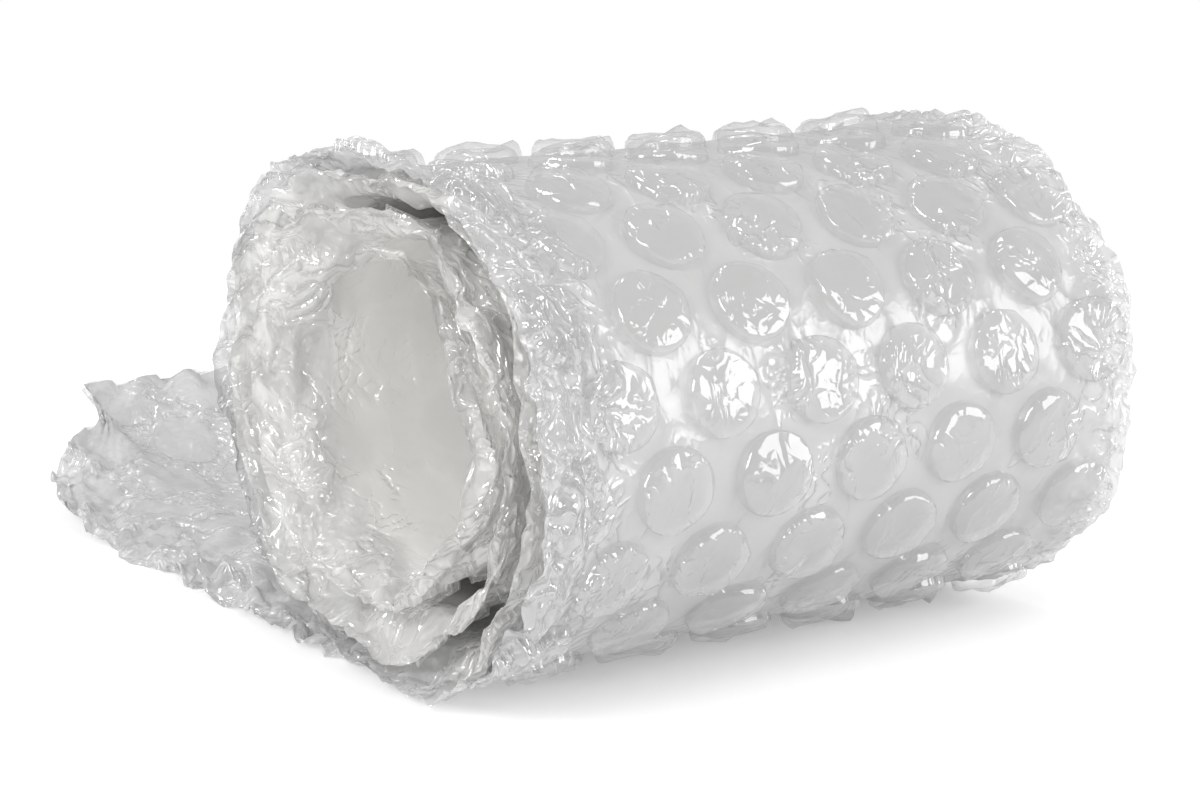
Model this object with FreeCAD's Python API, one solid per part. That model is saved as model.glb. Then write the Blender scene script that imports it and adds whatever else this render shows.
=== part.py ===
import FreeCAD, Part
import math
import os

# A loosely wound roll of bubble film, in millimetres. It is one sheet with bubbles on its outer side.
# It lies on its side with its axis along X. Its free end trails over the floor towards +Y, bubbles
# down, and curls up. The origin is on the floor, under the middle of the bounding box.

# The film. It bends between its rows of bubbles, so each row stands on a flat strip of its own.
FILM_WIDTH = 260.0
FILM_THICKNESS = 1.6
ROW_PITCH = 29.5

# The bubbles, in staggered rows across the film
BUBBLE_DIAMETER = 30.0
BUBBLE_TOP_DIAMETER = 24.0
BUBBLE_HEIGHT = 5.5
BUBBLE_SIDES = 10
BUBBLE_PITCH = 41.0
EDGE_MARGIN = 1.0

# The winding: an oval that closes in with every half turn. It is flat where it rests and at the top,
# and this flat run shortens with every half turn, so the turns inside are rounder.
ROLL_WIDTH = 234.0
ROLL_HEIGHT = 186.0
FLAT_SPOT = 34.0
FLAT_SPOT_LOSS = 5.0
SIDE_HALF_ANGLE = 50.0
FULL_TURNS = 3
LAST_TURN_STRETCHES = 4
WINDING_CLEARANCE = 3.2
FIRST_ROW_FROM_SPOT = 15.0

# The free end, flat at first, then curled up, with rounded corners. Beside the roll's open end, where
# X is least, its corner stops short of the rest.
TAIL_FLAT = 225.0
TAIL_CURL_RADIUS = 122.0
TAIL_CURL_ANGLE = 50.0
TAIL_CORNER_RADIUS = 42.0
TAIL_CORNER_SHORT = 20.0

TURN_PITCH = FILM_THICKNESS + BUBBLE_HEIGHT + WINDING_CLEARANCE
LEVEL = BUBBLE_HEIGHT + FILM_THICKNESS / 2
TURN_STRETCHES = 8


class Stretch:
    """A straight or round stretch of the film's middle line. It bends to the right of travel."""

    def __init__(self, start, heading, length, radius=None):
        self.start = start
        self.heading = heading
        self.length = length
        self.radius = radius

    def at(self, along):
        """The point and the heading at a distance along this stretch."""
        y, z = self.start
        if self.radius is None:
            y += along * math.cos(self.heading)
            z += along * math.sin(self.heading)
            return (y, z), self.heading
        turned = self.heading - along / self.radius
        y -= self.radius * (math.sin(turned) - math.sin(self.heading))
        z += self.radius * (math.cos(turned) - math.cos(self.heading))
        return (y, z), turned


def oval_radii():
    """The radii of the outermost turn's middle line: of its flatter arcs, and of its side arcs."""
    half_width = ROLL_WIDTH / 2 - LEVEL
    half_height = ROLL_HEIGHT / 2 - LEVEL
    side = math.radians(SIDE_HALF_ANGLE)
    step = (half_width - FLAT_SPOT / 2 - half_height) / (math.sin(side) + math.cos(side) - 1)
    flatter = half_height + step * math.sin(side)
    return flatter, flatter - step


def tail():
    """The free end, from its curled tip back to the end of the flat spot."""
    curl = math.radians(TAIL_CURL_ANGLE)
    tip_y = TAIL_FLAT + TAIL_CURL_RADIUS * math.sin(curl)
    tip_z = LEVEL + TAIL_CURL_RADIUS * (1 - math.cos(curl))
    curled = Stretch((tip_y, tip_z), math.pi + curl, TAIL_CURL_RADIUS * curl, TAIL_CURL_RADIUS)
    flat = Stretch((TAIL_FLAT, LEVEL), math.pi, TAIL_FLAT + FLAT_SPOT / 2)
    return [curled, flat]


def winding():
    """The turns, from the end of the flat spot up the front and round to the film's inner end."""
    flatter, side = oval_radii()
    half = math.radians(SIDE_HALF_ANGLE)
    rest = math.pi / 2 - half
    point, heading = (-FLAT_SPOT / 2, LEVEL), math.pi
    stretches = []
    for half_turn in range(2 * FULL_TURNS + 1):
        drop = half_turn * TURN_PITCH / 2
        next_drop = drop + TURN_PITCH / 2
        stretches.append(Stretch(point, heading, rest * (flatter - drop), flatter - drop))
        point, heading = stretches[-1].at(stretches[-1].length)
        stretches.append(Stretch(point, heading, 2 * half * (side - drop), side - drop))
        point, heading = stretches[-1].at(stretches[-1].length)
        stretches.append(Stretch(point, heading, rest * (flatter - next_drop), flatter - next_drop))
        point, heading = stretches[-1].at(stretches[-1].length)
        stretches.append(Stretch(point, heading, FLAT_SPOT - (half_turn + 1) * FLAT_SPOT_LOSS))
        point, heading = stretches[-1].at(stretches[-1].length)
    return stretches[: TURN_STRETCHES * FULL_TURNS + LAST_TURN_STRETCHES]


def at_distance(path, along):
    """The point and the heading at a distance along the whole path."""
    for stretch in path:
        if along <= stretch.length:
            return stretch.at(along)
        along -= stretch.length
    return path[-1].at(path[-1].length)


def strip_ends(path):
    """The distances along the film at which it bends, with the two ends of the film."""
    total = sum(stretch.length for stretch in path)
    tail_length = path[0].length + path[1].length
    first = (tail_length + FIRST_ROW_FROM_SPOT - ROW_PITCH / 2) % ROW_PITCH
    count = int((total - first) / ROW_PITCH)
    bends = [first + n * ROW_PITCH for n in range(count + 1)]
    return [0.0] + bends + [total]


def side_line(path, ends, offset):
    """The film's section line, moved by offset to the side on which the bubbles are."""
    line = []
    for along in ends:
        (y, z), heading = at_distance(path, along)
        y -= offset * math.sin(heading)
        z += offset * math.cos(heading)
        line.append(FreeCAD.Vector(0, y, z))
    return line


def film_sheet(outer, inner):
    """The wound film without its bubbles."""
    outline = outer + inner[::-1]
    section = Part.Face(Part.makePolygon(outline + outline[:1]))
    section.translate(FreeCAD.Vector(-FILM_WIDTH / 2, 0, 0))
    return section.extrude(FreeCAD.Vector(FILM_WIDTH, 0, 0))


def ring(centre, along, radius):
    """The corners of a bubble's outline at one height."""
    across = FreeCAD.Vector(1, 0, 0)
    turns = [2 * math.pi * n / BUBBLE_SIDES for n in range(BUBBLE_SIDES)]
    return [centre + across * (radius * math.cos(t)) + along * (radius * math.sin(t)) for t in turns]


def wall(lower, upper):
    """The flat faces between two outlines."""
    faces = []
    for n in range(BUBBLE_SIDES):
        m = (n + 1) % BUBBLE_SIDES
        faces.append(Part.Face(Part.makePolygon([lower[n], lower[m], upper[m], upper[n], lower[n]])))
    return faces


def bubble(middle, along, out):
    """One bubble on a strip, with a foot that is set into the film."""
    foot = ring(middle - out * (FILM_THICKNESS / 2), along, BUBBLE_DIAMETER / 2)
    base = ring(middle, along, BUBBLE_DIAMETER / 2)
    top = ring(middle + out * BUBBLE_HEIGHT, along, BUBBLE_TOP_DIAMETER / 2)
    ends = [Part.Face(Part.makePolygon(corners + corners[:1])) for corners in (foot, top)]
    return Part.Solid(Part.Shell(ends + wall(foot, base) + wall(base, top)))


def bubbles(path, outer):
    """All the bubbles of the tail and the outermost turn. On the turns inside it, which are hidden,
    only those beside the film's two cut edges."""
    shown = path[: len(tail()) + TURN_STRETCHES]
    shown_length = sum(stretch.length for stretch in shown)
    spot_end = path[0].length + path[1].length
    ends = strip_ends(path)
    found = []
    for n in range(1, len(outer) - 2):
        row_place = (ends[n] + ends[n + 1]) / 2
        odd = round((row_place - spot_end - FIRST_ROW_FROM_SPOT) / ROW_PITCH) % 2
        start = -FILM_WIDTH / 2 + EDGE_MARGIN + BUBBLE_DIAMETER / 2 + odd * BUBBLE_PITCH / 2
        count = int((FILM_WIDTH / 2 - BUBBLE_DIAMETER / 2 - start) / BUBBLE_PITCH) + 1
        columns = range(count) if row_place < shown_length + ROW_PITCH else (0, count - 1)
        along = (outer[n + 1] - outer[n]).normalize()
        out = FreeCAD.Vector(0, -along.z, along.y)
        middle = (outer[n] + outer[n + 1]) * 0.5
        for column in columns:
            place = FreeCAD.Vector(start + column * BUBBLE_PITCH, 0, 0)
            found.append(bubble(middle + place, along, out))
    return found


def corner_offcut(side, end_y):
    """What is cut away to round one corner of the free end, which would end at end_y."""
    radius = TAIL_CORNER_RADIUS
    bow = radius * (1 - math.sqrt(0.5))
    edge_x = side * FILM_WIDTH / 2
    inner_x = edge_x - side * radius
    outer_x = edge_x + side * radius
    far_y = end_y + radius
    plan = [
        (edge_x, end_y - radius),
        (edge_x - side * bow, end_y - bow),
        (inner_x, end_y),
        (inner_x, far_y),
        (outer_x, far_y),
        (outer_x, end_y - radius),
    ]
    corners = [FreeCAD.Vector(x, y, 0) for x, y in plan]
    return Part.Face(Part.makePolygon(corners + corners[:1])).extrude(FreeCAD.Vector(0, 0, ROLL_HEIGHT))


def main():
    os.makedirs("parts", exist_ok=True)
    path = tail() + winding()
    ends = strip_ends(path)
    outer = side_line(path, ends, FILM_THICKNESS / 2)
    inner = side_line(path, ends, -FILM_THICKNESS / 2)
    roll = film_sheet(outer, inner).multiFuse(bubbles(path, outer))
    tip_y = outer[0].y
    roll = roll.cut([corner_offcut(-1, tip_y - TAIL_CORNER_SHORT), corner_offcut(1, tip_y)])
    solid = max(roll.Solids, key=lambda one: one.Volume)
    box = solid.BoundBox
    solid.translate(FreeCAD.Vector(0, -(box.YMin + box.YMax) / 2, -box.ZMin))
    print("solids", len(roll.Solids), "faces", len(solid.Faces), "volume", solid.Volume)
    solid.exportStep("parts/bubble_film_roll.step")


main()
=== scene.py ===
import math

import bpy
import numpy as np
from bpy.props import FloatProperty, FloatVectorProperty, IntProperty, PointerProperty
from mathutils import Matrix, Vector, noise


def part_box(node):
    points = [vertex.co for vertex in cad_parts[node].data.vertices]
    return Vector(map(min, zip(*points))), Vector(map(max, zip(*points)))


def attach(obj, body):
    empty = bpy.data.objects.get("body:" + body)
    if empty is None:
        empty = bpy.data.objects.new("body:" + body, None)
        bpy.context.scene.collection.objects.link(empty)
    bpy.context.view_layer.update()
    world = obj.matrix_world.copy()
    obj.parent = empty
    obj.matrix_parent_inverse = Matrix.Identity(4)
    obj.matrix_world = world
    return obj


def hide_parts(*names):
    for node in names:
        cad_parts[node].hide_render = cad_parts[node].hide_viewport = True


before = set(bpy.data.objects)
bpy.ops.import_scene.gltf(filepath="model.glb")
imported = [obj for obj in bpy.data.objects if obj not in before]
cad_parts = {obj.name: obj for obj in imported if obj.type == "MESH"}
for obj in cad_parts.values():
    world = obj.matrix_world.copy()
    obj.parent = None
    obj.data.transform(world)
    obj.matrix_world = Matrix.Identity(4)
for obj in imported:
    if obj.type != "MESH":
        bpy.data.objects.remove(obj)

bl_info = {
    "name": "Bubble Film Roll",
    "version": (1, 0, 0),
    "blender": (4, 5, 0),
    "location": "3D View > Sidebar > Film Roll",
    "description": "A loose roll of crumpled bubble film on a white floor",
    "category": "Add Mesh",
}

NODE = "bubble_film_roll"

# Near is the open end that faces the camera, and far is the roll's other end
# How far in from each cut edge the film is crumpled
NEAR_CRUMPLE, FAR_CRUMPLE = 0.045, 0.03
# How wide the lip is that leans out along each cut edge
NEAR_LIP, FAR_LIP = 0.02, 0.018
# How far the free end is drawn back to its rounded outline, and how far in its tip is crumpled
TIP_DRAWN, TIP_CRUMPLE = 0.11, 0.035
# Where the film inside the outermost turn is covered, so that nothing shows through it: how far on
# from that turn's end, and how far in from the cut edges
COVERED_FROM, COVERED_INSET = 0.11, 0.04

# A bubble's outline from its foot to its middle, as shares of its radius and of its height
PROFILE = [(0.98, 0.5), (0.93, 0.85), (0.82, 1.0), (0.58, 0.98), (0.3, 0.94)]
PLAIN_PROFILE = [(0.96, 0.65), (0.82, 1.0)]
SIDES, PLAIN_SIDES = 20, 14

# How far the pattern of fine creases is bent, across and along the film
CREASE_WARP = (0.006, 0.006, 0.0)

# The stretches of the film's line in one turn, and the backing film's cells across and along
TURN_STRETCHES = 8
CELLS_ACROSS, CELLS_ALONG = 112, 760
# The least height of the film over the floor
FLOOR_GAP = 0.0002


def length(name, default, description):
    return FloatProperty(
        name=name, default=default, description=description, unit="LENGTH", min=0.0
    )


class FilmSizes(bpy.types.PropertyGroup):
    """The film, its bubbles and the way it is wound, as in the part."""

    width: length("Width", 0.26, "The film's width, which is the roll's length")
    thickness: length("Thickness", 0.0016, "The solid's film thickness")
    bubble_diameter: length("Bubble diameter", 0.03, "Across a bubble's foot")
    bubble_height: length("Bubble height", 0.0055, "From the film to a bubble's top")
    bubble_pitch: length("Bubble pitch", 0.041, "From bubble to bubble in a row")
    row_pitch: length("Row pitch", 0.0295, "From row to row along the film")
    edge_margin: length("Edge margin", 0.001, "From the film's cut edge to the first bubble")
    first_row: length("First row", 0.015, "From the flat spot's end to the first row up the front")
    roll_width: length("Roll width", 0.234, "The roll's width over its bubbles")
    roll_height: length("Roll height", 0.186, "The roll's height over its bubbles")
    flat_spot: length("Flat spot", 0.034, "How much of the outermost turn lies flat")
    flat_spot_loss: length("Flat spot loss", 0.005, "How much shorter each next flat run is")
    side_half_angle: FloatProperty(
        name="Side half angle", default=math.radians(50), subtype="ANGLE",
        description="Half the angle of the tight arcs at the roll's sides",
    )
    full_turns: IntProperty(name="Full turns", default=3, description="Whole turns of the winding")
    last_turn: IntProperty(
        name="Last turn", default=4, description="Stretches of the last turn, of eight"
    )
    clearance: length("Clearance", 0.0032, "Between a bubble's top and the next turn")
    tail_flat: length("Flat tail", 0.225, "How far the free end lies flat, from the roll's middle")
    curl_radius: length("Curl radius", 0.122, "The radius of the free end's curl")
    curl_angle: FloatProperty(
        name="Curl angle", default=math.radians(50), subtype="ANGLE",
        description="How far the free end's tip is turned up",
    )
    corner_radius: length("Corner radius", 0.042, "The rounding of the free end's corners")
    corner_short: length("Short corner", 0.02, "How far the near corner stops short")


class FilmLook(bpy.types.PropertyGroup):
    """The film's colours, haze and crease depth; the inner film's colour is partly painted light.
    """

    colour: FloatVectorProperty(
        name="Film", default=(0.58, 0.58, 0.58), subtype="COLOR",
        description="The milky film's colour",
    )
    # the inner colour is partly the stacked film's own paler tone and partly painted light: lighter
    # to make up for the light that the opaque inner turns keep out of the hollow
    inner: FloatVectorProperty(
        name="Inner film", default=(0.8, 0.795, 0.78), subtype="COLOR",
        description="The film's colour where turn lies on turn",
    )
    haze: FloatProperty(
        name="Haze", default=0.6, min=0, max=1, description="How much one layer hides"
    )
    bubble_haze: FloatProperty(
        name="Bubble haze", default=0.07, min=0, max=1, description="How much a bubble hides"
    )
    crease: length("Crease depth", 0.001, "The depth of the fine creases in the shading")


class FilmLine:
    """The line that the film follows in the YZ plane, from the free end's tip to the inner end. It
    is a row of stretches, each with a length and a bend, which is one over its radius."""

    def __init__(self, size):
        rise = size.bubble_height + size.thickness / 2
        half_width, half_height = size.roll_width / 2 - rise, size.roll_height / 2 - rise
        side_angle = size.side_half_angle
        step = (half_width - size.flat_spot / 2 - half_height) / (
            math.sin(side_angle) + math.cos(side_angle) - 1
        )
        flatter = half_height + step * math.sin(side_angle)
        side = flatter - step
        turn_pitch = size.thickness + size.bubble_height + size.clearance
        runs = [
            (size.curl_radius * size.curl_angle, 1 / size.curl_radius),
            (size.tail_flat + size.flat_spot / 2, 0.0),
        ]
        self.tail_length = runs[0][0] + runs[1][0]
        winding = []
        for half_turn in range(2 * size.full_turns + 1):
            drop, next_drop = half_turn * turn_pitch / 2, (half_turn + 1) * turn_pitch / 2
            rest = math.pi / 2 - side_angle
            winding += [
                (rest * (flatter - drop), 1 / (flatter - drop)),
                (2 * side_angle * (side - drop), 1 / (side - drop)),
                (rest * (flatter - next_drop), 1 / (flatter - next_drop)),
                (size.flat_spot - (half_turn + 1) * size.flat_spot_loss, 0.0),
            ]
        runs += winding[: TURN_STRETCHES * size.full_turns + size.last_turn]
        self.turn_ends = [
            self.tail_length + sum(run[0] for run in winding[: TURN_STRETCHES * turn])
            for turn in range(size.full_turns + 1)
        ]
        self.length = sum(run[0] for run in runs)
        self.bends = np.array([bend for _, bend in runs])
        self.starts = np.cumsum([0.0] + [run[0] for run in runs[:-1]])
        self.headings = np.zeros(len(runs))
        self.y, self.z = np.zeros(len(runs)), np.zeros(len(runs))
        self.headings[0] = math.pi + size.curl_angle
        for n in range(1, len(runs)):
            end = self.at(self.starts[n : n + 1], n - 1)
            (self.y[n],), (self.z[n],), (self.headings[n],) = end
        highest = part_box(NODE)[1]
        self.y += highest.y - size.thickness / 2 * math.sin(size.curl_angle)
        self.z += rise - self.z[1]

    def at(self, along, stretch=None):
        """The points and headings at these distances along the film."""
        n = stretch
        if stretch is None:
            n = np.searchsorted(self.starts, along, side="right") - 1
        n = np.clip(n, 0, len(self.starts) - 1)
        run = along - self.starts[n]
        half = self.bends[n] * run / 2
        chord = run * np.sinc(half / np.pi)
        middle = self.headings[n] - half
        y = self.y[n] + chord * np.cos(middle)
        z = self.z[n] + chord * np.sin(middle)
        return y, z, self.headings[n] - 2 * half

    def wound(self, flat):
        """Places of the flat film (across, along, and height on the bubbles' side) on the roll."""
        y, z, heading = self.at(flat[:, 1])
        y = y - flat[:, 2] * np.sin(heading)
        z = z + flat[:, 2] * np.cos(heading)
        return np.stack([flat[:, 0], y, np.maximum(z, FLOOR_GAP)], axis=1)


def smooth(low, high, value):
    """0 at low, 1 at high, and an even S between them. low may be above high."""
    t = np.clip((value - low) / (high - low), 0, 1)
    return t * t * (3 - 2 * t)


def noise_field(flat, size, seed, stretch=1.0):
    """Smooth noise over the flat film, about -1 to 1, with features of that size. stretch makes
    them longer along the film."""
    points = zip(flat[:, 0] / size, flat[:, 1] / (size * stretch))
    return np.array([noise.noise(Vector((x, s, seed * 7.31))) for x, s in points]) * 1.4


def creases(flat, size, seed):
    """Sharp-crested noise, -1 to 1, high along thin lines."""
    return 1 - 2 * np.abs(noise_field(flat, size, seed))


class Crumple:
    """How the film is pushed out of its smooth winding."""

    def __init__(self, size, line):
        self.size, self.line = size, line
        self.half = size.width / 2
        self.tip_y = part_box(NODE)[1].y
        self.table = np.linspace(0, line.tail_length, 400)
        self.table_y = line.at(self.table)[0]

    def tip(self, x):
        """How far along the film it starts, which rounds the free end's corners."""
        size, radius = self.size, self.size.corner_radius
        near, far = -self.half + radius, self.half - radius
        inset = np.clip(np.where(x < near, near - x, x - far), 0, radius)
        end_y = self.tip_y - radius + np.sqrt(radius**2 - inset**2)
        end_y = end_y - size.corner_short * smooth(near + 0.006, near - 0.006, x)
        return np.interp(-end_y, -self.table_y, self.table)

    def trimmed(self, flat):
        """The flat film with its free end drawn back to the rounded outline."""
        start = self.tip(flat[:, 0])
        along = flat[:, 1] + start * (1 - smooth(0, TIP_DRAWN, flat[:, 1]))
        return np.stack([flat[:, 0], np.maximum(along, start), flat[:, 2]], axis=1)

    def tail_fold(self, x, along):
        """The free end's fold, which runs in from its notch: low near the open end, high beyond."""
        centre = -self.half + self.size.corner_radius + 0.25 * along
        side = smooth(-0.005, 0.005, x - centre)
        return smooth(0.16, 0.03, along) * (0.002 * side - 0.003 * (1 - side))

    def flare(self, along):
        """How far a cut edge leans out: the outermost turn to the height of its bubbles, the turn
        inside it to meet it, and the innermost turns less and less."""
        ends = self.line.turn_ends
        pitch = self.size.thickness + self.size.bubble_height + self.size.clearance
        second = smooth(ends[1] - 0.06, ends[1] + 0.04, along)
        third = smooth(ends[2] - 0.03, ends[2] + 0.12, along)
        last = smooth(ends[3] - 0.1, ends[3], along)
        rest_end = self.line.tail_length
        first = smooth(rest_end + 0.02, rest_end + 0.14, along)
        return pitch * (0.45 * first + 0.8 * second - 0.4 * third - 0.4 * last)

    def moved(self, flat, roughness=1.0):
        """Places of the flat film, pushed about by its folds. They are deepest at the rim, which is
        along the cut edges and the free end's tip. roughness scales the fine ones."""
        x, along = flat[:, 0], flat[:, 1]
        half, ends = self.half, self.line.turn_ends
        near = smooth(-half + NEAR_CRUMPLE, -half + 0.004, x)
        near_lip = smooth(-half + NEAR_LIP, -half, x)
        far = smooth(half - FAR_CRUMPLE, half - 0.002, x)
        far_lip = smooth(half - FAR_LIP, half, x)
        tip = smooth(TIP_CRUMPLE, 0.0, along - self.tip(x))
        rim = np.maximum(np.maximum(near, 0.7 * far), tip)
        tail = smooth(self.line.tail_length - 0.01, self.line.tail_length - 0.07, along)
        inside = smooth(ends[1] - 0.02, ends[1] + 0.05, along)
        height = 0.0011 * noise_field(flat, 0.07, 1, 1.3) * (1 - 0.5 * inside)
        # each kind of fold: its field, then its height everywhere, at the rim and on the free end
        for field, everywhere, at_rim, on_tail in (
            (creases(flat, 0.024, 3), 0.0003, 0.0024, 0.0014),
            (creases(flat, 0.011, 4) * roughness, 0.0001, 0.0018, 0.0008),
            (creases(flat, 0.006, 9) * roughness, 0.0, 0.001, 0.0006),
            (noise_field(flat, 0.03, 2), 0.0003, 0.0022 + 0.0026 * inside, 0.0012),
        ):
            height += (everywhere + at_rim * rim + on_tail * tail) * field
        height += self.flare(along) * np.maximum(near_lip, 0.8 * far_lip) * (1 - tail)
        height += self.tail_fold(x, along)
        aside = 0.0026 * noise_field(flat, 0.02, 5) + 0.0016 * noise_field(flat, 0.008, 6)
        onward = 0.0024 * noise_field(flat, 0.018, 7) + 0.0012 * noise_field(flat, 0.008, 8)
        return flat + np.stack([rim * aside + 0.002 * near, rim * onward, height], axis=1)

    def film(self, flat):
        """The whole film's places on the roll, from its places on the flat rectangle."""
        return self.line.wound(self.moved(self.trimmed(flat)))


def deselect():
    """Deselects everything, because an operator acts on all that is selected."""
    for thing in bpy.context.selected_objects:
        thing.select_set(False)


def vertex_places(mesh):
    """The mesh's vertices, a row each."""
    places = np.empty(len(mesh.vertices) * 3)
    mesh.vertices.foreach_get("co", places)
    return places.reshape(-1, 3)


def set_places(mesh, places):
    """Moves the mesh's vertices to these places, a row each."""
    mesh.vertices.foreach_set("co", np.ascontiguousarray(places, dtype=np.float32).ravel())
    mesh.update()


def flat_uv(mesh, flat):
    """Keeps each corner's place on the flat film, in metres, as the mesh's UV map."""
    layer = mesh.uv_layers.active or mesh.uv_layers.new(name="flat_film")
    layer.name = "flat_film"
    corners = np.empty(len(mesh.loops), dtype=np.int32)
    mesh.loops.foreach_get("vertex_index", corners)
    layer.data.foreach_set("uv", flat[corners][:, :2].astype(np.float32).ravel())


def mark_under_bubbles(mesh, flat, places, radius):
    """Keeps, at each vertex, 1 under a bubble and 0 beside it."""
    near = np.ones(len(flat))
    for x, along in places:
        rows = np.flatnonzero(np.abs(flat[:, 1] - along) < radius)
        reach = np.hypot(flat[rows, 0] - x, flat[rows, 1] - along) / radius
        near[rows] = np.minimum(near[rows], reach)
    layer = mesh.attributes.new("under_bubble", "FLOAT", "POINT")
    layer.data.foreach_set("value", smooth(1.0, 0.86, near).astype(np.float32))


def finish_piece(piece, name, *materials):
    """Names a piece, gives it its materials and tells the frame what it stands for."""
    piece.name = piece.data.name = name
    piece.data.materials.clear()
    for material in materials:
        piece.data.materials.append(material)
    deselect()
    piece.select_set(True)
    bpy.context.view_layer.objects.active = piece
    bpy.ops.object.shade_smooth()
    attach(piece, "root")
    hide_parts(NODE)
    deselect()


class Signal:
    """A shader socket that takes Python arithmetic."""

    def __init__(self, shader, socket):
        self.shader, self.socket = shader, socket

    def maths(self, operation, *values):
        """A Math node on these values."""
        return self.shader.node("ShaderNodeMath", {"operation": operation}, *values)

    def __add__(self, other):
        return self.maths("ADD", self, other)

    def __sub__(self, other):
        return self.maths("SUBTRACT", self, other)

    def __rsub__(self, other):
        return self.maths("SUBTRACT", other, self)

    def __mul__(self, other):
        return self.maths("MULTIPLY", self, other)

    def __pow__(self, other):
        return self.maths("POWER", self, other)

    __radd__, __rmul__ = __add__, __mul__

    def clipped(self):
        return self.shader.node("ShaderNodeClamp", {}, self)

    def ramp(self, low, high):
        """An S-shaped step from 0 at low to 1 at high. low may be above high."""
        settings = {"interpolation_type": "SMOOTHSTEP"}
        return self.shader.node("ShaderNodeMapRange", settings, self, low, high, 0.0, 1.0)


class Shader:
    """A material's node tree."""

    def __init__(self, name):
        self.material = bpy.data.materials.new(name)
        self.material.use_nodes = True
        self.tree = self.material.node_tree
        self.tree.nodes.clear()

    def put(self, socket, value):
        if isinstance(value, Signal):
            self.tree.links.new(value.socket, socket)
        elif value is not None:
            socket.default_value = value

    def node(self, kind, settings, *values, output=0, **named):
        """Adds a node: its settings, then its sockets' values or links, in order or by name."""
        node = self.tree.nodes.new(kind)
        for key, setting in settings.items():
            setattr(node, key, setting)
        for socket, value in zip([s for s in node.inputs if s.enabled], values):
            self.put(socket, value)
        for key, value in named.items():
            self.put(node.inputs[key.replace("_", " ")], value)
        return Signal(self, node.outputs[output])

    def finish(self, surface):
        out = self.tree.nodes.new("ShaderNodeOutputMaterial")
        self.tree.links.new(surface.socket, out.inputs["Surface"])
        return self.material


def film_material(name, look, haze, edge_haze, backing, covered=False):
    """Milky clear film: a hazy layer under a hard gloss that catches every crease. edge_haze is
    added where the film is seen edge on."""
    shader = Shader(name)
    place = shader.node("ShaderNodeUVMap", {"uv_map": "flat_film"})
    parts = shader.tree.nodes.new("ShaderNodeSeparateXYZ")
    shader.tree.links.new(place.socket, parts.inputs[0])
    across, along = Signal(shader, parts.outputs["X"]), Signal(shader, parts.outputs["Y"])

    # broad creases that run along the film, and finer ones every way
    even, ridged = {"noise_dimensions": "2D"}, {"noise_type": "RIDGED_MULTIFRACTAL"}
    ridged = {**even, **ridged, "normalize": False}
    texture, vector = "ShaderNodeTexNoise", "ShaderNodeVectorMath"
    patch = shader.node(texture, even, Vector=place, Scale=30.0, Detail=1.0)
    warp = shader.node(texture, even, Vector=place, Scale=60.0, Detail=1.0, output=1)
    warped = shader.node(vector, {"operation": "MULTIPLY_ADD"}, warp, CREASE_WARP, place)
    drawn = shader.node(vector, {"operation": "MULTIPLY"}, warped, (1.0, 0.45, 1.0))
    broad = shader.node(texture, ridged, Vector=drawn, Scale=60.0, Detail=2.0, Offset=1.0)
    fine = shader.node(texture, ridged, Vector=warped, Scale=150.0, Detail=1.0, Offset=1.0)

    # the film is slack beside its cut edges and on the free end, and there it is creased most
    tail = along.ramp(0.34, 0.27)
    loose = across.ramp(-0.085, -0.118) + across.ramp(0.11, 0.128) + tail
    tight_share = 0.0 if backing else 0.05
    share = (loose + tight_share + patch.ramp(0.5, 0.75) * 0.4).clipped()
    height = broad * broad * (share * 1.8 + 0.28) + fine * fine * (share * 1.5 + 0.04)
    bump = shader.node("ShaderNodeBump", {}, Strength=1.0, Distance=look.crease, Height=height)
    facing = shader.node("ShaderNodeLayerWeight", {}, 0.5, output=1)
    creased = shader.node("ShaderNodeLayerWeight", {}, 0.5, bump, output=1)

    # haze in patches, thick on the free end and the turns inside, thin beside the open end
    alpha = facing * edge_haze + patch.ramp(0.3, 0.8) * 0.08 + tail * haze * 0.35 + haze
    alpha = alpha + along.ramp(0.98, 1.06) * (1 - loose) * 0.4
    alpha = alpha - across.ramp(-0.1, -0.118) * 0.16
    mirror = creased**4.0 * 0.4 + share * 0.13 + 0.08
    shine = 0.08
    if backing:
        under = shader.node("ShaderNodeAttribute", {"attribute_name": "under_bubble"}, output=2)
        mirror = mirror * (1 - under * 0.8)
        alpha = alpha - under * 0.1
        shine = 0.25 - share * 0.17
    alpha = 1.0 if covered else alpha.clipped()

    # the turns inside take the inner colour: partly the stacked film's own paler tone, partly
    # painted light that brightens the hollow in place of light passing through the film
    inside_tone_and_painted_light = along.ramp(0.92, 1.02)
    colour = shader.node("ShaderNodeMixRGB", {}, inside_tone_and_painted_light, (*look.colour, 1), (*look.inner, 1))
    principled = "ShaderNodeBsdfPrincipled"
    hazy = shader.node(
        principled, {}, Base_Color=colour, Roughness=0.6, Alpha=alpha, Specular_IOR_Level=0.0
    )
    glossy = shader.node(
        principled, {}, Base_Color=(1, 1, 1, 1), Metallic=1.0, Roughness=shine, Normal=bump
    )
    return shader.finish(shader.node("ShaderNodeMixShader", {}, mirror, hazy, glossy))


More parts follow.
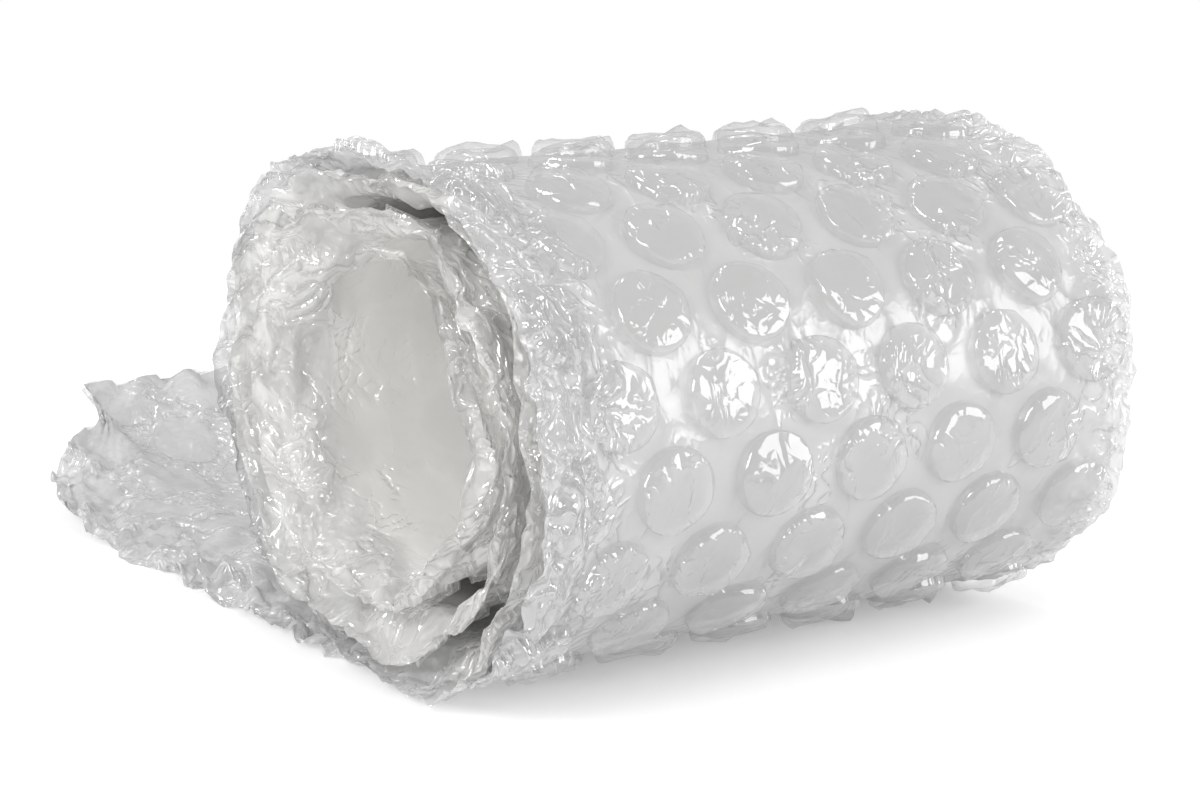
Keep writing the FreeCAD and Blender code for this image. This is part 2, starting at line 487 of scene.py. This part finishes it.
class RollBacking(bpy.types.Operator):
    """Make the flat backing film, wound up and crumpled."""

    bl_idname = "mesh.film_roll_backing"
    bl_label = "Backing film"

    def execute(self, context):
        size, look = context.scene.film_sizes, context.scene.film_look
        line = FilmLine(size)
        crumple = Crumple(size, line)
        deselect()
        bpy.ops.mesh.primitive_grid_add(
            x_subdivisions=CELLS_ACROSS, y_subdivisions=CELLS_ALONG, size=2
        )
        piece = context.object
        unit = vertex_places(piece.data)
        across, along = (unit[:, 0] + 1) / 2, (unit[:, 1] + 1) / 2
        # finer cells towards the near cut edge, and on the outermost turn and the free end
        across = across - 0.11 * np.sin(2 * np.pi * across) - 0.1 * across * (1 - across)
        outer = line.turn_ends[1] + 0.05
        along = np.interp(along, [0, 0.62, 1], [0, outer, line.length])
        flat = np.stack([(across - 0.5) * size.width, along, np.zeros(len(along))], axis=1)
        trimmed = crumple.trimmed(flat)
        flat_uv(piece.data, trimmed)
        places = bubble_places(size, line)
        mark_under_bubbles(piece.data, trimmed, places, size.bubble_diameter / 2)
        set_places(piece.data, crumple.film(flat))
        # the faces well inside the roll are opaque, by the place of each one's first corner
        corners = np.empty(len(piece.data.loops), dtype=np.int32)
        piece.data.loops.foreach_get("vertex_index", corners)
        first = flat[corners.reshape(-1, 4)[:, 0]]
        covered = first[:, 1] > line.turn_ends[1] + COVERED_FROM
        covered &= np.abs(first[:, 0]) < size.width / 2 - COVERED_INSET
        piece.data.polygons.foreach_set("material_index", covered.astype(np.int32))
        clear = film_material("clear_film", look, look.haze, 0.3, True)
        hidden = film_material("covered_film", look, look.haze, 0.3, True, covered=True)
        finish_piece(piece, "backing_film", clear, hidden)
        return {"FINISHED"}


def bubble_places(size, line):
    """Where the bubbles' middles are on the flat film. Every other row is moved by half a pitch."""
    rows = np.arange(line.tail_length + size.first_row, 0, -size.row_pitch)[::-1]
    even_row = (len(rows) - 1) % 2
    rows = np.append(rows, np.arange(rows[-1] + size.row_pitch, line.length, size.row_pitch))
    places = []
    for n, along in enumerate(rows):
        odd = (n % 2) != even_row
        start = -size.width / 2 + size.edge_margin + size.bubble_diameter / 2
        start += odd * size.bubble_pitch / 2
        count = int((size.width / 2 - size.bubble_diameter / 2 - start) / size.bubble_pitch) + 1
        for column in range(count):
            places.append((start + column * size.bubble_pitch, along))
    return places


def one_bubble(size, sides, profile):
    """A flattened bubble, standing on the XY plane, open below."""
    deselect()
    radius, rise = size.bubble_diameter / 2, size.bubble_height
    bpy.ops.mesh.primitive_circle_add(vertices=sides, radius=radius, fill_type="NOTHING")
    bubble = bpy.context.object
    bpy.ops.object.mode_set(mode="EDIT")
    bpy.ops.mesh.select_all(action="SELECT")
    was_wide, was_high = 1.0, 0.0
    for wide, high in profile:
        up = (high - was_high) * rise
        bpy.ops.mesh.extrude_edges_move(TRANSFORM_OT_translate={"value": (0, 0, up)})
        shrink = wide / was_wide
        bpy.ops.transform.resize(value=(shrink, shrink, 1), center_override=(0, 0, 0))
        was_wide, was_high = wide, high
    bpy.ops.mesh.merge(type="COLLAPSE")
    bpy.ops.mesh.select_all(action="SELECT")
    bpy.ops.mesh.normals_make_consistent(inside=False)
    bpy.ops.object.mode_set(mode="OBJECT")
    if bubble.data.polygons[-1].normal.z < 0:
        bubble.data.flip_normals()
    return bubble


def dented(shape, size, seed, depth):
    """The bubble's vertices with its top slack and folded, each bubble in its own way."""
    shares = shape[:, 2] / size.bubble_height
    top = smooth(0.5, 0.98, shares)
    out = shape.copy()
    lift = -0.0012 * top + 0.0008 * top * noise_field(shape + seed * 0.37, 0.02, 13)
    for fold in range(3):
        angle = 2.4 * noise.cell(Vector((seed, fold, 0.5))) * 2 + 1.3 * fold
        offset = 0.009 * (noise.cell(Vector((seed, fold, 7.5))) - 0.5)
        across = shape[:, 0] * math.cos(angle) + shape[:, 1] * math.sin(angle) - offset
        across = across + 0.0015 * noise_field(shape + seed * 0.61, 0.012, 14)
        sharp = np.exp(-np.abs(across) / 0.0022)
        lift += top * sharp * (0.0022 if fold != 1 else -0.0024)
    out[:, 2] += depth * lift
    drift = [noise_field(shape + seed, 0.015, field) for field in (14, 15)]
    out[:, :2] += np.stack(drift, axis=1) * 0.0006 * shares[:, None]
    return out


def place_bubbles(name, places, size, crumple, sides, profile, material, depth):
    """Copies one bubble to each place of the flat film, dents it and winds it up with the film."""
    master = one_bubble(size, sides, profile)
    shape = vertex_places(master.data)
    copies = []
    for seed, (x, along) in enumerate(places):
        piece = master.copy()
        piece.data = master.data.copy()
        bpy.context.collection.objects.link(piece)
        flat = dented(shape, size, seed + 1, depth) + np.array([x, along, 0])
        flat_uv(piece.data, flat)
        flat[:, 1] = np.maximum(flat[:, 1], crumple.tip(flat[:, 0]))
        half = size.width / 2
        flat[:, 0] = np.clip(flat[:, 0], -half, half)
        set_places(piece.data, crumple.line.wound(crumple.moved(flat, 0.3)))
        copies.append(piece)
    bpy.data.objects.remove(master)
    deselect()
    for piece in copies:
        piece.select_set(True)
    bpy.context.view_layer.objects.active = copies[0]
    bpy.ops.object.join()
    finish_piece(bpy.context.object, name, material)


class RollBubbles(bpy.types.Operator):
    """Make the bubbles: those that show in full detail, those of the turns inside plainer."""

    bl_idname = "mesh.film_roll_bubbles"
    bl_label = "Bubbles"

    def execute(self, context):
        size, look = context.scene.film_sizes, context.scene.film_look
        line = FilmLine(size)
        crumple = Crumple(size, line)
        places = bubble_places(size, line)
        radius = size.bubble_diameter / 2
        kept = [p for p in places if p[1] > crumple.tip(np.array([p[0]]))[0] + 0.5 * radius]
        kept = [p for p in kept if p[1] < line.length - radius]
        shown_to = line.turn_ends[1] + size.row_pitch
        outer = [p for p in kept if p[1] <= shown_to]
        inner = [p for p in kept if p[1] > shown_to]
        inner = [p for p in inner if abs(p[0]) > size.width / 2 - COVERED_INSET]
        film = film_material("bubble_film", look, look.bubble_haze, 0.2, False)
        place_bubbles("outer_bubbles", outer, size, crumple, SIDES, PROFILE, film, 0.8)
        place_bubbles("inner_bubbles", inner, size, crumple, PLAIN_SIDES, PLAIN_PROFILE, film, 0.6)
        return {"FINISHED"}


def area_light(name, place, target, wide, high, power):
    """A rectangular lamp that points at target."""
    data = bpy.data.lights.new(name, "AREA")
    data.shape, data.size, data.size_y, data.energy = "RECTANGLE", wide, high, power
    lamp = bpy.data.objects.new(name, data)
    lamp.location = place
    lamp.rotation_euler = (Vector(target) - Vector(place)).to_track_quat("-Z", "Y").to_euler()
    bpy.context.scene.collection.objects.link(lamp)


class RollStage(bpy.types.Operator):
    """Make the floor, the studio lights and the camera."""

    bl_idname = "scene.film_roll_stage"
    bl_label = "Stage"

    def execute(self, context):
        self.floor()
        self.lights(context.scene)
        self.camera(context.scene)
        return {"FINISHED"}

    def floor(self):
        """A pale floor that keeps the roll's shadow, and goes over to plain white far from it."""
        deselect()
        bpy.ops.mesh.primitive_plane_add(size=14)
        floor = bpy.context.object
        floor.name = "floor"
        shader = Shader("white_floor")
        path = shader.tree.nodes.new("ShaderNodeLightPath")
        rays = ("Is Camera Ray", "Is Glossy Ray", "Is Transmission Ray")
        camera, gloss, glass = (Signal(shader, path.outputs[ray]) for ray in rays)
        seen = (camera + gloss + glass).clipped()
        place = shader.node("ShaderNodeTexCoord", {}, output=3)
        distance = shader.node("ShaderNodeVectorMath", {"operation": "LENGTH"}, place, output=1)
        white = shader.node("ShaderNodeEmission", {}, (1, 1, 1, 1), 1.0)
        lift = shader.node("ShaderNodeEmission", {}, (1, 1, 1, 1), seen * 0.28)
        matt = shader.node("ShaderNodeBsdfDiffuse", {}, (0.88, 0.88, 0.88, 1))
        lit = shader.node("ShaderNodeAddShader", {}, matt, lift)
        away = distance.ramp(0.35, 0.9) * seen
        surface = shader.node("ShaderNodeMixShader", {}, away, lit, white)
        floor.data.materials.append(shader.finish(surface))
        shader.material.cycles.emission_sampling = "NONE"

    def lights(self, scene):
        """An even white studio, with a large soft lamp in front and smaller ones that glint."""
        world = scene.world or bpy.data.worlds.new("studio")
        scene.world = world
        world.use_nodes = True
        background = world.node_tree.nodes["Background"]
        background.inputs["Color"].default_value = (1, 1, 1, 1)
        background.inputs["Strength"].default_value = 0.64
        target = (0.0, -0.1, 0.09)
        area_light("key", (0.9, -1.35, 0.56), target, 1.0, 0.9, 12.5)
        area_light("window", (-0.95, -0.6, 0.75), target, 0.4, 0.4, 5.0)
        area_light("side", (-1.35, 0.3, 0.55), target, 0.3, 0.35, 4.5)
        area_light("top", (0.05, 0.35, 1.5), target, 0.3, 0.3, 3.8)

    def camera(self, scene):
        """The photograph's view: the point aim is seen at the pixel aim_x, aim_y."""
        azimuth, elevation = math.radians(-34.23), math.radians(12.23)
        distance, focal = 1.0544, 2847.2  # metres, pixels
        image_wide, image_high = 1200, 800
        aim = Vector((0, -0.101339, 0.092))
        aim_x, aim_y = 659.3, 382.8
        back = Vector((
            math.sin(azimuth) * math.cos(elevation),
            -math.cos(azimuth) * math.cos(elevation),
            math.sin(elevation),
        ))
        right = Vector((math.cos(azimuth), math.sin(azimuth), 0))
        up = back.cross(right)
        place = aim + back * distance
        place -= right * ((aim_x - image_wide / 2) / focal * distance)
        place += up * ((aim_y - image_high / 2) / focal * distance)
        data = bpy.data.cameras.new("camera")
        data.sensor_width = 36
        data.lens = focal / image_wide * data.sensor_width
        camera = bpy.data.objects.new("camera", data)
        turn = Matrix((right, up, back)).transposed().to_4x4()
        camera.matrix_world = Matrix.Translation(place) @ turn
        scene.collection.objects.link(camera)
        scene.camera = camera
        scene.view_settings.view_transform = "Standard"


class RollPanel(bpy.types.Panel):
    """Lists the roll's operators and sizes."""

    bl_label = "Film Roll"
    bl_idname = "VIEW3D_PT_film_roll"
    bl_space_type = "VIEW_3D"
    bl_region_type = "UI"
    bl_category = "Film Roll"

    def draw(self, context):
        for group in (context.scene.film_sizes, context.scene.film_look):
            for key in group.__annotations__:
                self.layout.prop(group, key)
        for operator in (RollBacking, RollBubbles, RollStage):
            self.layout.operator(operator.bl_idname)


CLASSES = (FilmSizes, FilmLook, RollBacking, RollBubbles, RollStage, RollPanel)


def register():
    for one in CLASSES:
        bpy.utils.register_class(one)
    bpy.types.Scene.film_sizes = PointerProperty(type=FilmSizes)
    bpy.types.Scene.film_look = PointerProperty(type=FilmLook)


def unregister():
    del bpy.types.Scene.film_look
    del bpy.types.Scene.film_sizes
    for one in reversed(CLASSES):
        bpy.utils.unregister_class(one)


def main():
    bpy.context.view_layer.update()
    register()
    bpy.ops.mesh.film_roll_backing()
    bpy.ops.mesh.film_roll_bubbles()
    bpy.ops.scene.film_roll_stage()


if __name__ == "__main__":
    main()
